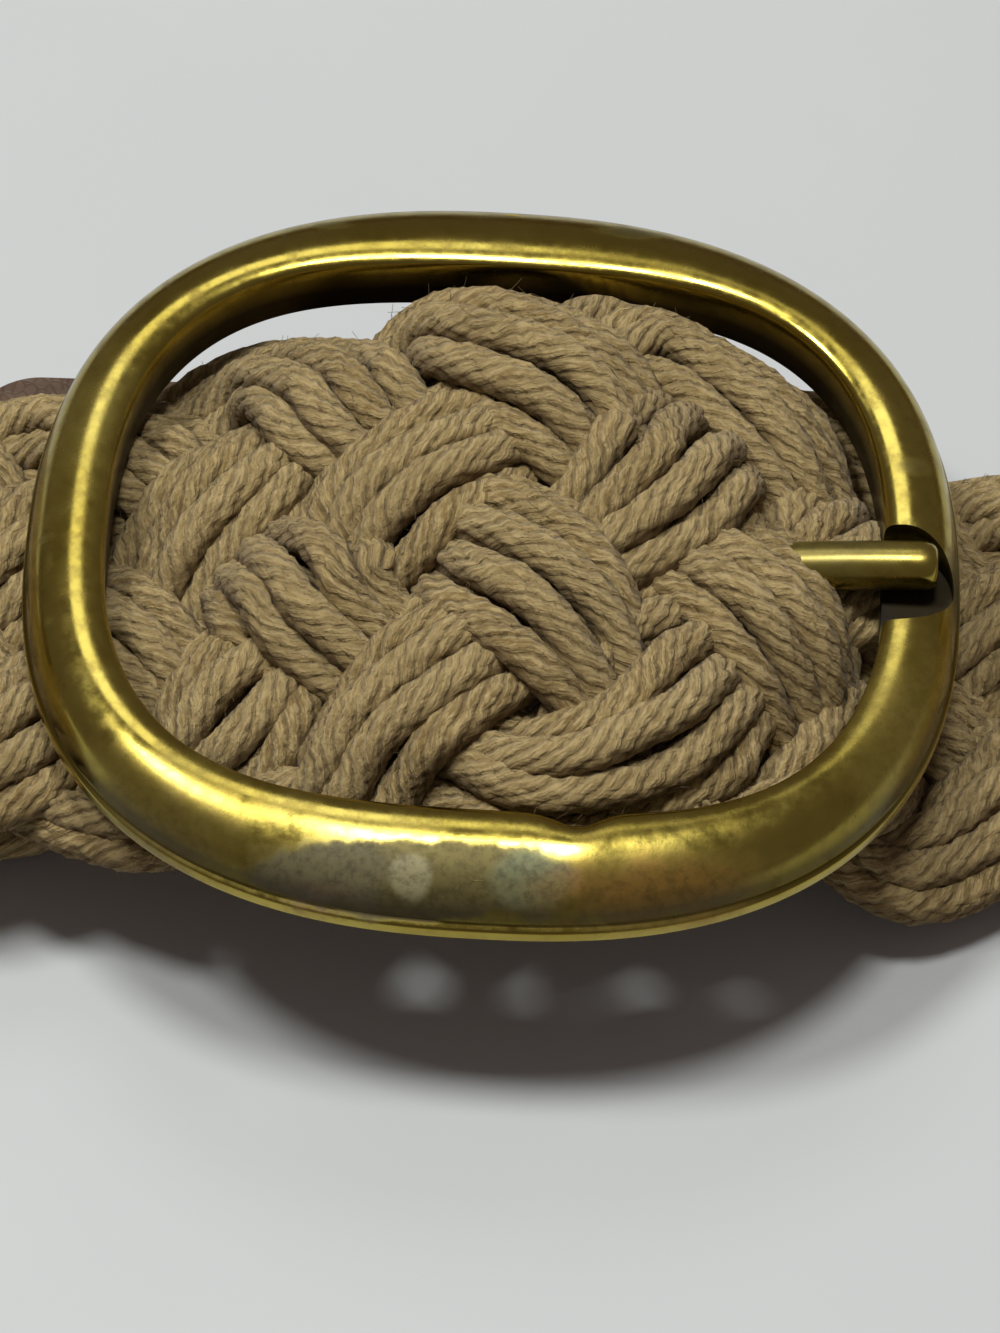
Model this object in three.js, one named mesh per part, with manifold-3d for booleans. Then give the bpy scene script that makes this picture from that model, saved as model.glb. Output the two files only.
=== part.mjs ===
// Braided cord belt, fastened: brass buckle, prong, leather tab and one plaited band.
// Millimetres, +Z up, the belt lies on z = 0 and the buckle faces up.
// While it is built, the buckle's middle is at x = 0, y = 0. The last lines centre the whole belt.

import * as THREE from 'three';
import { mergeVertices } from 'three/addons/utils/BufferGeometryUtils.js';
import Module from 'manifold-3d';

const wasm = await Module();
wasm.setup();

// Driving dimensions

// gap parts neighbouring pieces, foldGap the leather from the bar, holeGap the band from the prong.
const gap = 0.3;
const foldGap = 1.4 * gap;
const holeGap = 1.5 * gap;

const frame = {
  halfLength: 38.8,
  halfHeight: 36.55,
  squareness: 2.41,
  barHeight: 5.6,
  skin: 1.2,
  endDrop: 1.1,
  bottomAtMiddle: 21.3,
  shiftFar: 0.65,
  tiltDegrees: 2.1,
  yawDegrees: -2.5,
  barWidth: { left: 6.9, right: 6.6, far: 9.3, near: 9.1 },
  swell: 6,
  dent: { x: 8.6, halfSpan: 3.2, depth: 1.3 },
  sides: 64,
};

// Section of the ring, as parts of the bar's width (0 inner wall, 1 outer rim) and height.
const ringSection = [
  { across: 0.0, up: 0.0 },
  { across: 0.0, up: 0.72 },
  { across: 0.03, up: 0.87 },
  { across: 0.1, up: 0.94 },
  { across: 0.22, up: 0.985 },
  { across: 0.38, up: 1.0 },
  { across: 0.56, up: 0.96 },
  { across: 0.74, up: 0.84 },
  { across: 0.88, up: 0.64 },
  { across: 0.95, up: 0.4 },
  { across: 1.0, up: 0.32 },
  { across: 1.0, up: 0.0 },
];

// The centre bar hangs below the ring on two short legs that meet the ring's roof.
const centreBar = { radius: 2.1, up: -4, legInset: 4.8, legTop: 4.3 };

// The prong is a gentle arch from its eye through the bend to its tip.
const prong = {
  radius: 2.05,
  y: -0.4,
  startX: 2.6,
  bend: { x: 16, up: 2.6 },
  tip: { x: 36.5, up: 3.7 },
  eyeWall: 1.7,
  eyeWidth: 4.4,
  steps: 5,
};

const notch = { y: -1.8, halfWidth: 4.8, floorUp: 0.9, mouthX: 28, reach: 38, depth: 10 };

const tab = {
  thickness: 1.8,
  farEdge: 25.6,
  nearEdge: -14.4,
  endX: -46.5,
  sheetBottom: 0,
  topSheetBottom: 9.3,
  bendX: -17,
  cornerRadius: 6,
  foldEndX: 10,
  curve: { pull: 9, lowEase: 8, topEase: 6, drop: 3, rise: 1, lead: 3 },
  slot: { x: 1, length: 14, width: 6, depth: 14 },
};

const plait = {
  strands: 5,
  period: 90,
  strandWidth: 11.2,
  softness: 0.94,
  width: 42,
  thickness: 8.4,
  phase: 0.02,
  edge: 1.4,
  columns: 8,
  fineStep: 3.2,
  coarseStep: 5.8,
  fineStart: 48,
  fineEnd: 170,
};

// Route of the band's middle, from the end held in the tab, round the waist, through the
// buckle and on to the free end. lift is the height of the middle where the band lies flat
// or is held up. twist turns its face from up (0) to outward (90), where it stands on edge.
// crown is how far the middle of its width stands above its edges.
const route = [
  { x: -17, y: 4, lift: 5.5, twist: 0, width: 37, thick: 6.8, crown: 0 },
  { x: -32, y: 4, lift: 5.5, twist: 0, width: 37, thick: 6.8, crown: 0 },
  { x: -46, y: 3.4, lift: 5.6, twist: 0, width: 38, thick: 6.9, crown: 0 },
  { x: -62, y: 1.6, lift: 4.5, twist: 0, width: 40, thick: 8.2, crown: 0 },
  { x: -92, y: 0, lift: 4.2, twist: 0, width: 42, thick: 8.4, crown: 0 },
  { x: -122, y: 0, lift: 4.2, twist: 3, width: 42, thick: 8.4, crown: 0 },
  { x: -160, y: 5, lift: 0, twist: 34, width: 42, thick: 8.4, crown: 0 },
  { x: -196, y: 27, lift: 0, twist: 70, width: 42, thick: 8.4, crown: 0 },
  { x: -213, y: 64, lift: 0, twist: 88, width: 42, thick: 8.4, crown: 0 },
  { x: -206, y: 106, lift: 0, twist: 90, width: 42, thick: 8.4, crown: 0 },
  { x: -176, y: 142, lift: 0, twist: 90, width: 42, thick: 8.4, crown: 0 },
  { x: -132, y: 166, lift: 0, twist: 90, width: 42, thick: 8.4, crown: 0 },
  { x: -82, y: 179, lift: 0, twist: 90, width: 42, thick: 8.4, crown: 0 },
  { x: -30, y: 183, lift: 0, twist: 90, width: 42, thick: 8.4, crown: 0 },
  { x: 22, y: 179, lift: 0, twist: 90, width: 42, thick: 8.4, crown: 0 },
  { x: 72, y: 166, lift: 0, twist: 90, width: 42, thick: 8.4, crown: 0 },
  { x: 116, y: 142, lift: 0, twist: 90, width: 42, thick: 8.4, crown: 0 },
  { x: 146, y: 106, lift: 0, twist: 90, width: 42, thick: 8.4, crown: 0 },
  { x: 153, y: 64, lift: 0, twist: 88, width: 42, thick: 8.4, crown: 0 },
  { x: 137, y: 27, lift: 0, twist: 68, width: 41.5, thick: 8.4, crown: 0 },
  { x: 102, y: 5, lift: 0, twist: 30, width: 41, thick: 8.4, crown: 0 },
  { x: 72, y: 0, lift: 4.2, twist: 4, width: 41, thick: 8.4, crown: 0 },
  { x: 52, y: -0.4, lift: 4.6, twist: 0, width: 41, thick: 8.2, crown: 0 },
  { x: 42, y: -0.3, lift: 5.8, twist: 0, width: 42, thick: 7.8, crown: 0.2 },
  { x: 34, y: -0.3, lift: 7.2, twist: 0, width: 45, thick: 7, crown: 0.6 },
  { x: 25, y: -0.3, lift: 12.6, twist: 1.5, width: 48, thick: 7.2, crown: 6.6 },
  { x: 13, y: -0.9, lift: 19.3, twist: 3, width: 53, thick: 8.4, crown: 7.2 },
  { x: 0, y: -0.8, lift: 25.4, twist: 4, width: 51.2, thick: 8.4, crown: 2.4 },
  { x: -13, y: -0.1, lift: 18.8, twist: 3, width: 51.2, thick: 8.4, crown: 6.2 },
  { x: -25, y: 0.2, lift: 15.7, twist: 1.5, width: 47.5, thick: 7.4, crown: 3 },
  { x: -36, y: 0, lift: 15.2, twist: 0, width: 45, thick: 7, crown: 0.8 },
  { x: -48, y: 0, lift: 15.6, twist: 0, width: 44, thick: 7.2, crown: 0 },
  { x: -64, y: 0, lift: 13.3, twist: 0, width: 43.5, thick: 8.2, crown: 0 },
  { x: -82, y: 0, lift: 13, twist: 0, width: 42.5, thick: 8.4, crown: 0 },
  { x: -100, y: 0, lift: 13, twist: 0, width: 42, thick: 8.4, crown: 0 },
];

const colours = {
  brass: { color: 0x8f7c34, metalness: 1, roughness: 0.34 },
  leather: { color: 0x57402f, metalness: 0, roughness: 0.62 },
  cotton: { color: 0xab9166, metalness: 0, roughness: 0.95 },
};

// Shared helpers

function toSolid(geometry) {
  const bare = geometry.clone();
  bare.deleteAttribute('normal');
  bare.deleteAttribute('uv');
  const merged = mergeVertices(bare, 1e-4);
  return new wasm.Manifold(new wasm.Mesh({
    numProp: 3,
    vertProperties: new Float32Array(merged.attributes.position.array),
    triVerts: new Uint32Array(merged.index.array),
  }));
}

function toGeometry(solid) {
  const mesh = solid.getMesh();
  const geometry = new THREE.BufferGeometry();
  geometry.setAttribute('position', new THREE.BufferAttribute(mesh.vertProperties, 3));
  geometry.setIndex(new THREE.BufferAttribute(mesh.triVerts, 1));
  geometry.computeVertexNormals();
  return geometry;
}

function moveEachPoint(geometry, move) {
  const positions = geometry.attributes.position;
  const point = new THREE.Vector3();
  for (let i = 0; i < positions.count; i += 1) {
    point.fromBufferAttribute(positions, i);
    const moved = move(point);
    positions.setXYZ(i, moved.x, moved.y, moved.z);
  }
  return geometry;
}

function namedMesh(name, geometry, look) {
  const mesh = new THREE.Mesh(geometry, new THREE.MeshStandardMaterial(look));
  mesh.name = name;
  return mesh;
}

// Buckle frame: a hollow-backed ring with the centre bar joined across it

function barWidthAt(angle) {
  const end = Math.sin(angle);
  const side = Math.cos(angle) > 0 ? frame.barWidth.right : frame.barWidth.left;
  const middle = end > 0 ? frame.barWidth.far : frame.barWidth.near;
  return side + (middle - side) * Math.abs(end) ** frame.swell;
}

function outerPointAt(angle) {
  const power = 2 / frame.squareness;
  const c = Math.cos(angle);
  const s = Math.sin(angle);
  return new THREE.Vector2(
    frame.halfLength * Math.sign(c) * Math.abs(c) ** power,
    frame.halfHeight * Math.sign(s) * Math.abs(s) ** power,
  );
}

function outwardAt(angle) {
  const p = outerPointAt(angle);
  const power = frame.squareness - 1;
  return new THREE.Vector2(
    Math.sign(p.x) * Math.abs(p.x / frame.halfLength) ** power / frame.halfLength,
    Math.sign(p.y) * Math.abs(p.y / frame.halfHeight) ** power / frame.halfHeight,
  ).normalize();
}

function dentAt(point) {
  const reach = (point.x - frame.dent.x) / frame.dent.halfSpan;
  return point.y < 0 ? frame.dent.depth * Math.exp(-reach * reach) : 0;
}

function closedRingProfile() {
  const skinAcross = frame.skin / frame.barWidth.left;
  const skinUp = frame.skin / frame.barHeight;
  const hollow = [
    { across: 1 - skinAcross, up: 0 },
    { across: 0.78, up: 0.52 },
    { across: 0.56, up: 0.94 - skinUp },
    { across: 0.3, up: 1 - skinUp },
    { across: skinAcross, up: 0.62 },
    { across: skinAcross, up: 0 },
  ];
  const loop = [...ringSection, ...hollow, ringSection[0]];
  return loop.reverse().map((p) => new THREE.Vector2(1 + p.across, p.up));
}

function ringSolid() {
  const lathe = new THREE.LatheGeometry(closedRingProfile(), frame.sides);
  const ring = moveEachPoint(lathe, (p) => {
    const angle = Math.atan2(p.x, p.z);
    const across = Math.hypot(p.x, p.z) - 1;
    const rim = outerPointAt(angle);
    const inward = (1 - across) * barWidthAt(angle);
    const dent = dentAt(rim) * (1 - across);
    const spot = rim.clone().addScaledVector(outwardAt(angle), dent - inward);
    const drop = frame.endDrop * (spot.x / frame.halfLength) ** 2;
    return new THREE.Vector3(spot.x, spot.y, p.y * frame.barHeight - drop);
  });
  return toSolid(ring);
}

function roundRod(from, to) {
  const length = from.distanceTo(to);
  const rod = new THREE.CylinderGeometry(centreBar.radius, centreBar.radius, length, 14);
  rod.translate(0, 0.5 * length, 0);
  const turn = new THREE.Quaternion().setFromUnitVectors(
    new THREE.Vector3(0, 1, 0),
    to.clone().sub(from).normalize(),
  );
  rod.applyQuaternion(turn);
  rod.translate(from.x, from.y, from.z);
  return toSolid(rod);
}

function barSolid() {
  const legY = frame.halfHeight - centreBar.legInset;
  const corners = [-legY, legY].map((y) => new THREE.Vector3(0, y, centreBar.up));
  let solid = roundRod(corners[0], corners[1]);
  for (const corner of corners) {
    const elbow = new THREE.SphereGeometry(centreBar.radius, 14, 8);
    elbow.translate(corner.x, corner.y, corner.z);
    const top = new THREE.Vector3(corner.x, corner.y, centreBar.legTop);
    solid = solid.add(toSolid(elbow)).add(roundRod(corner, top));
  }
  return solid;
}

function notchCutter() {
  const outline = new THREE.Shape();
  const bend = notch.reach - notch.halfWidth;
  outline.moveTo(notch.mouthX, notch.y - notch.halfWidth);
  outline.lineTo(bend, notch.y - notch.halfWidth);
  outline.absarc(bend, notch.y, notch.halfWidth, -Math.PI / 2, Math.PI / 2, false);
  outline.lineTo(notch.mouthX, notch.y + notch.halfWidth);
  outline.closePath();
  const block = { depth: notch.depth, bevelEnabled: false, curveSegments: 12 };
  const cutter = new THREE.ExtrudeGeometry(outline, block);
  cutter.translate(0, 0, notch.floorUp);
  return toSolid(cutter);
}

function tiltedIntoPlace(geometry) {
  geometry.rotateZ(THREE.MathUtils.degToRad(frame.yawDegrees));
  geometry.rotateY(THREE.MathUtils.degToRad(frame.tiltDegrees));
  geometry.translate(0, frame.shiftFar, frame.bottomAtMiddle);
  return geometry;
}

function buckleFrame() {
  const solid = ringSolid().subtract(notchCutter()).add(barSolid());
  return namedMesh('buckle_frame', tiltedIntoPlace(toGeometry(solid)), colours.brass);
}

// Prong: a round rod with an eye round the centre bar, its blunt tip in the notch

const prongLine = new THREE.QuadraticBezierCurve3(
  new THREE.Vector3(prong.startX, prong.y, centreBar.up),
  new THREE.Vector3(prong.bend.x, prong.y, prong.bend.up),
  new THREE.Vector3(prong.tip.x, prong.y, prong.tip.up),
);
const prongLength = prongLine.getLength();

// Bends a shape that stands along +Y so that it follows the prong's line.
function alongProng(geometry) {
  const aside = new THREE.Vector3(0, 1, 0);
  return moveEachPoint(geometry, (p) => {
    const part = THREE.MathUtils.clamp(p.y / prongLength, 0, 1);
    const direction = prongLine.getTangent(part);
    const up = new THREE.Vector3().crossVectors(direction, aside);
    return prongLine.getPoint(part)
      .addScaledVector(direction, p.y - part * prongLength)
      .addScaledVector(up, p.x)
      .addScaledVector(aside, p.z);
  });
}

function buckleProng() {
  const eyeInner = centreBar.radius + gap;
  const eyeOuter = eyeInner + prong.eyeWall;
  const ring = new THREE.Shape().absarc(0, 0, eyeOuter, 0, 2 * Math.PI, false);
  ring.holes.push(new THREE.Path().absarc(0, 0, eyeInner, 0, 2 * Math.PI, true));
  const across = { depth: prong.eyeWidth, bevelEnabled: false, curveSegments: 12 };
  const eye = new THREE.ExtrudeGeometry(ring, across);
  eye.translate(0, 0, -prong.eyeWidth / 2);
  eye.rotateX(Math.PI / 2);
  eye.translate(0, prong.y, centreBar.up);

  const r = prong.radius;
  const shoulder = prongLength - 0.5 * r;
  const profile = [new THREE.Vector2(0, 0)];
  for (let i = 0; i <= prong.steps; i += 1) {
    profile.push(new THREE.Vector2(r, shoulder * i / prong.steps));
  }
  profile.push(
    new THREE.Vector2(0.82 * r, prongLength - 0.15 * r),
    new THREE.Vector2(0.45 * r, prongLength),
    new THREE.Vector2(0, prongLength),
  );
  const rod = alongProng(new THREE.LatheGeometry(profile, 14));
  const solid = toSolid(eye).add(toSolid(rod));
  return namedMesh('prong', tiltedIntoPlace(toGeometry(solid)), colours.brass);
}

// Leather tab: one strip folded round the centre bar, the band's end between its two sheets

function tabSideOutline() {
  const barTop = frame.bottomAtMiddle + centreBar.up;
  const inner = centreBar.radius + foldGap;
  const outer = inner + tab.thickness;
  const low = tab.sheetBottom;
  const high = tab.topSheetBottom;
  const t = tab.thickness;
  const { pull, lowEase, topEase, drop, rise, lead } = tab.curve;
  const side = new THREE.Shape();
  side.moveTo(tab.endX, low);
  side.lineTo(tab.bendX, low);
  side.bezierCurveTo(tab.bendX + lowEase, low, -pull, barTop - outer - drop, 0, barTop - outer);
  side.absarc(0, barTop, outer, -Math.PI / 2, Math.PI / 2, false);
  side.bezierCurveTo(
    -pull, barTop + outer - rise, tab.bendX + topEase, high + t, tab.bendX - lead, high + t,
  );
  side.lineTo(tab.endX, high + t);
  side.lineTo(tab.endX, high);
  side.lineTo(tab.bendX - lead, high);
  side.bezierCurveTo(
    tab.bendX + topEase, high, -pull, barTop + inner - rise, 0, barTop + inner,
  );
  side.absarc(0, barTop, inner, Math.PI / 2, -Math.PI / 2, true);
  side.bezierCurveTo(
    -pull, barTop - inner - drop, tab.bendX + lowEase, low + t, tab.bendX, low + t,
  );
  side.lineTo(tab.endX, low + t);
  side.closePath();
  return side;
}

function tabPlanOutline() {
  const r = tab.cornerRadius;
  const plan = new THREE.Shape();
  plan.moveTo(tab.foldEndX, tab.farEdge);
  plan.lineTo(tab.endX + r, tab.farEdge);
  plan.absarc(tab.endX + r, tab.farEdge - r, r, Math.PI / 2, Math.PI, false);
  plan.absarc(tab.endX + r, tab.nearEdge + r, r, Math.PI, 1.5 * Math.PI, false);
  plan.lineTo(tab.foldEndX, tab.nearEdge);
  plan.closePath();
  return plan;
}

function leatherTab() {
  const width = tab.farEdge - tab.nearEdge;
  const across = { depth: width, bevelEnabled: false, curveSegments: 10 };
  const strip = new THREE.ExtrudeGeometry(tabSideOutline(), across);
  strip.rotateX(Math.PI / 2);
  strip.translate(0, tab.farEdge, 0);
  const height = 2 * frame.bottomAtMiddle;
  const upwards = { depth: height, bevelEnabled: false, curveSegments: 6 };
  const plan = new THREE.ExtrudeGeometry(tabPlanOutline(), upwards);
  plan.translate(0, 0, -0.1 * height);
  const slot = new THREE.BoxGeometry(tab.slot.length, tab.slot.width, tab.slot.depth);
  slot.translate(tab.slot.x, prong.y, frame.bottomAtMiddle + centreBar.up);
  const solid = toSolid(strip).intersect(toSolid(plan)).subtract(toSolid(slot));
  const folded = toGeometry(solid);
  folded.rotateZ(THREE.MathUtils.degToRad(frame.yawDegrees));
  folded.translate(0, frame.shiftFar, 0);
  return namedMesh('leather_tab', folded, colours.leather);
}

// Plaited band. Strand k swings from edge to edge once per period, and passes over and
// under each strand that it meets.

function routeAt(t) {
  const last = route.length - 1;
  const i = Math.min(Math.floor(t), last - 1);
  const f = t - i;
  const before = route[Math.max(i - 1, 0)];
  const from = route[i];
  const to = route[i + 1];
  const after = route[Math.min(i + 2, last)];
  const blended = {};
  for (const column of Object.keys(from)) {
    const a = before[column];
    const b = from[column];
    const c = to[column];
    const d = after[column];
    blended[column] = b + 0.5 * f * (c - a + f * (2 * a - 5 * b + 4 * c - d + f * (3 * (b - c) + d - a)));
  }
  const turn = THREE.MathUtils.degToRad(blended.twist);
  const resting = 0.5 * (blended.width * Math.sin(turn) + blended.thick * Math.cos(turn));
  const middle = new THREE.Vector3(blended.x, blended.y, Math.max(blended.lift, resting));
  return { ...blended, turn, middle };
}

function lengthTable() {
  const perRow = 40;
  const rows = [{ t: 0, length: 0 }];
  let previous = routeAt(0).middle;
  for (let i = 1; i <= (route.length - 1) * perRow; i += 1) {
    const here = routeAt(i / perRow).middle;
    rows.push({ t: i / perRow, length: rows[i - 1].length + here.distanceTo(previous) });
    previous = here;
  }
  return rows;
}

// A strand that turns back at the band's edge is pinched, and lies this part of its width inside.
const edgePart = 0.36;
const strandReach = 0.5 * plait.width - edgePart * plait.strandWidth;

const lengths = lengthTable();
const bandLength = lengths[lengths.length - 1].length;

function stationAt(length) {
  const wanted = THREE.MathUtils.clamp(length, 0, bandLength);
  const i = Math.max(1, lengths.findIndex((row) => row.length >= wanted));
  const from = lengths[i - 1];
  const to = lengths[i];
  const t = from.t + (to.t - from.t) * (wanted - from.length) / (to.length - from.length);
  const here = routeAt(t);
  const ahead = routeAt(Math.min(t + 0.02, route.length - 1)).middle;
  const behind = routeAt(Math.max(t - 0.02, 0)).middle;
  const along = ahead.sub(behind).normalize();
  const outward = new THREE.Vector3(-along.y, along.x, 0).normalize();
  const upright = new THREE.Vector3().crossVectors(outward, along).negate();
  const face = upright.multiplyScalar(Math.cos(here.turn)).addScaledVector(outward, Math.sin(here.turn));
  const across = new THREE.Vector3().crossVectors(along, face);
  return { ...here, face, across };
}

function swing(turns) {
  return Math.asin(plait.softness * Math.cos(2 * Math.PI * turns)) / Math.asin(plait.softness);
}

// Height of a strand, 1 on top and -1 below. Five strands cross at every tenth of a period.
function weave(turns) {
  const within = turns - Math.round(turns);
  const t = Math.abs(within);
  let height = Math.cos(10 * Math.PI * (t - 0.1));
  if (t < 0.1) height = Math.cos(5 * Math.PI * (0.1 - t));
  if (t > 0.4) height = -Math.cos(5 * Math.PI * (t - 0.4));
  return within < 0 ? height : -height;
}

function bandSurfaces(length, across) {
  const slope = 4 * strandReach / plait.period;
  const halfStrand = 0.5 * plait.strandWidth * Math.hypot(1, slope);
  const quarter = 0.25 * plait.thickness;
  let top = 0;
  let bottom = 0;
  for (let k = 0; k < plait.strands; k += 1) {
    const turns = length / plait.period + k / plait.strands + plait.phase;
    const offset = (across - strandReach * swing(turns)) / halfStrand;
    if (Math.abs(offset) < 1) {
      const crown = quarter * Math.sqrt(1 - offset * offset);
      top = Math.max(top, quarter * weave(turns) + crown);
      bottom = Math.min(bottom, quarter * weave(turns) - crown);
    }
  }
  return { top, bottom };
}

function edgeAt(length, side) {
  let edge = 0;
  for (let k = 0; k < plait.strands; k += 1) {
    const turns = length / plait.period + k / plait.strands + plait.phase;
    edge = Math.max(edge, side * strandReach * swing(turns));
  }
  return side * (edge + edgePart * plait.strandWidth);
}

function stationLengths() {
  const stations = [];
  let length = 0;
  while (length < bandLength - 0.5 * plait.fineStep) {
    stations.push(length);
    const fine = length < plait.fineStart || length > bandLength - plait.fineEnd;
    length += fine ? plait.fineStep : plait.coarseStep;
  }
  stations.push(bandLength);
  return stations;
}

function bandPoint(length, part, side) {
  const station = stationAt(length);
  const endFade = Math.min(1, 0.55 + 0.15 * Math.min(length, bandLength - length));
  const near = edgeAt(length, -1);
  const far = edgeAt(length, 1);
  const across = near + (far - near) * part;
  const { top, bottom } = bandSurfaces(length, across);
  const height = side > 0 ? Math.max(top, 0.5 * plait.edge) : Math.min(bottom, -0.5 * plait.edge);
  const outwards = 2 * across / plait.width;
  const crown = station.crown * (1 - outwards * outwards);
  return station.middle.clone()
    .addScaledVector(station.across, across * station.width / plait.width)
    .addScaledVector(station.face, crown + height * endFade * station.thick / plait.thickness);
}

function prongHole() {
  const radius = prong.radius + holeGap;
  const length = prongLength + 2;
  const hole = new THREE.CylinderGeometry(radius, radius, length, 12, 8);
  hole.translate(0, 0.5 * length - 1, 0);
  return toSolid(tiltedIntoPlace(alongProng(hole)));
}

function beltBraid() {
  const stations = stationLengths();
  const steps = stations.length - 1;
  const block = new THREE.BoxGeometry(1, 1, 1, steps, plait.columns, 1);
  moveEachPoint(block, (p) => bandPoint(stations[Math.round((p.x + 0.5) * steps)], 0.5 - p.y, p.z));
  const solid = toSolid(block).subtract(prongHole());
  return namedMesh('belt_braid', toGeometry(solid), colours.cotton);
}

const group = new THREE.Group();
group.add(buckleFrame(), buckleProng(), leatherTab(), beltBraid());
const box = new THREE.Box3().setFromObject(group);
const middle = box.getCenter(new THREE.Vector3());
group.position.set(-middle.x, -middle.y, -box.min.z);

export default group;
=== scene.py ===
import math
import random

import bmesh
import bpy
from mathutils import Matrix, Vector


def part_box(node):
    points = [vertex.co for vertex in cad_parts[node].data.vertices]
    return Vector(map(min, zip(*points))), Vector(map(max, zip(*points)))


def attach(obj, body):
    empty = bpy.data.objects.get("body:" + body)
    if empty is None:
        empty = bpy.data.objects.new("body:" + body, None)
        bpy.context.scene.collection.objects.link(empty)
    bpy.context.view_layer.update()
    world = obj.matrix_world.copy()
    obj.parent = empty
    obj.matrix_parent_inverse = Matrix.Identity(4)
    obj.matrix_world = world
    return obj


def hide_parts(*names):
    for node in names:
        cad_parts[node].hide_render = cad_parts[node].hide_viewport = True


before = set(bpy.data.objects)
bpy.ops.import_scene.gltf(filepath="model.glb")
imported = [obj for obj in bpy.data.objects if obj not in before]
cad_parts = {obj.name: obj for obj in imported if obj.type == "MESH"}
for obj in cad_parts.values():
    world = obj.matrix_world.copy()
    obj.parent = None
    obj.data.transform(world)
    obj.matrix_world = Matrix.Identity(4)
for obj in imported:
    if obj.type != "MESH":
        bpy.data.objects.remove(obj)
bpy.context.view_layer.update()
mm = 0.001

# Lengths below are in millimetres from a point on the floor. The buckle's middle lies
# this much farther along +Y.
buckleShift = 0.65
buckleLow, buckleHigh = (Vector(corner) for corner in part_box("buckle_frame"))
origin = (buckleLow + buckleHigh) / 2 - Vector((0, buckleShift * mm, 0))
origin.z = 0


def toFrame(point):
    return Vector(point) * mm + origin


def clamp(value, low=0.0, high=1.0):
    return max(low, min(high, value))


def smoothstep(low, high, value):
    t = clamp((value - low) / (high - low))
    return t * t * (3 - 2 * t)


# Node helpers

def newMaterial(name):
    material = bpy.data.materials.new(name)
    material.use_nodes = True
    tree = material.node_tree
    tree.nodes.clear()
    output = tree.nodes.new("ShaderNodeOutputMaterial")
    shader = tree.nodes.new("ShaderNodeBsdfPrincipled")
    tree.links.new(shader.outputs["BSDF"], output.inputs["Surface"])
    return material, tree, shader


def addNode(tree, kind, inputs=None, **settings):
    node = tree.nodes.new(kind)
    for key, value in settings.items():
        setattr(node, key, value)
    for key, value in (inputs or {}).items():
        if isinstance(value, bpy.types.NodeSocket):
            tree.links.new(value, node.inputs[key])
        else:
            node.inputs[key].default_value = value
    return node


def math2(tree, operation, first, second=0.0, third=0.0):
    node = addNode(tree, "ShaderNodeMath", {0: first, 1: second, 2: third}, operation=operation)
    return node.outputs[0]


def noise(tree, vector, scale, detail, roughness):
    values = {"Vector": vector, "Scale": scale, "Detail": detail, "Roughness": roughness}
    return addNode(tree, "ShaderNodeTexNoise", values).outputs["Fac"]


def mapRange(tree, value, fromLow, fromHigh, toLow=0.0, toHigh=1.0):
    values = {"Value": value, "From Min": fromLow, "From Max": fromHigh, "To Min": toLow, "To Max": toHigh}
    node = addNode(tree, "ShaderNodeMapRange", values, interpolation_type="SMOOTHSTEP")
    return node.outputs["Result"]


def mixColour(tree, factor, first, second):
    node = addNode(tree, "ShaderNodeMix", data_type="RGBA")
    for key, value in (("Factor_Float", factor), ("A_Color", first), ("B_Color", second)):
        socket = next(s for s in node.inputs if s.identifier == key)
        if isinstance(value, bpy.types.NodeSocket):
            tree.links.new(value, socket)
        else:
            socket.default_value = value
    return next(s for s in node.outputs if s.identifier == "Result_Color")


def attribute(tree, name, output="Fac"):
    node = addNode(tree, "ShaderNodeAttribute", attribute_name=name, attribute_type="GEOMETRY")
    return node.outputs[output]


# The distance is in millimetres.
def bump(tree, height, distance, strength, normal=None):
    values = {"Height": height, "Distance": distance * mm, "Strength": strength}
    if normal is not None:
        values["Normal"] = normal
    return addNode(tree, "ShaderNodeBump", values).outputs["Normal"]


# Plait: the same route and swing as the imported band

plait = {
    "strands": 5,
    "period": 90,
    "width": 42,
    "thickness": 8.4,
    "reach": 17.3,
    "softness": 0.94,
    "phase": 0.02,
    "lift": 2.1,
    # The stretch in front, back from the free end, and how far it laps over the rest.
    "front": (164, 49),
    "lap": 0.6,
    # From this part of the reach on, a strand turns at the edge: it pinches and rises.
    "edgeFrom": 0.62,
    "edgePinch": 0.2,
    "edgeRise": 0.6,
    # A strand is wider where it lies on top.
    "swell": 0.17,
    # Each cord strays from its place in waves of these lengths and parts.
    "strayAside": 0.62,
    "strayOut": 0.5,
    "strayWaves": ((41, 0.55), (17, 0.42), (7.3, 0.2)),
    "outSeed": 500,
    "spacing": 0.5,
}

# A cord's yarns show as flutes that run round it once in a lay.
cord = {
    "radius": 1.72,
    "flutes": 7.0,
    "lay": 15.0,
    "fluteDepth": 0.42,
    "fluteMiddle": 0.6,
    "lumpDepth": 0.8,
    "lumpNoise": (380.0, 3.0, 0.66),
    "wander": 4.6,
    "wanderNoise": (210.0, 2.0, 0.5),
    # How far up a cord's side faces where the painted shade of the valley beside it sets in, and where it
    # is full.
    "valleyShade": (0.8, 0.1),
    "frontSides": 42,
    "frontStep": 0.62,
    "bandSides": 8,
    "bandStep": 2.4,
}

# Places of a strand's cords in its section: across the strand, and out from its middle.
bundle = [(-4.6, -1.2), (-2.4, 0.3), (0, 1.1), (2.4, 0.4), (4.55, -1.1), (0, -1.2)]

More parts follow.
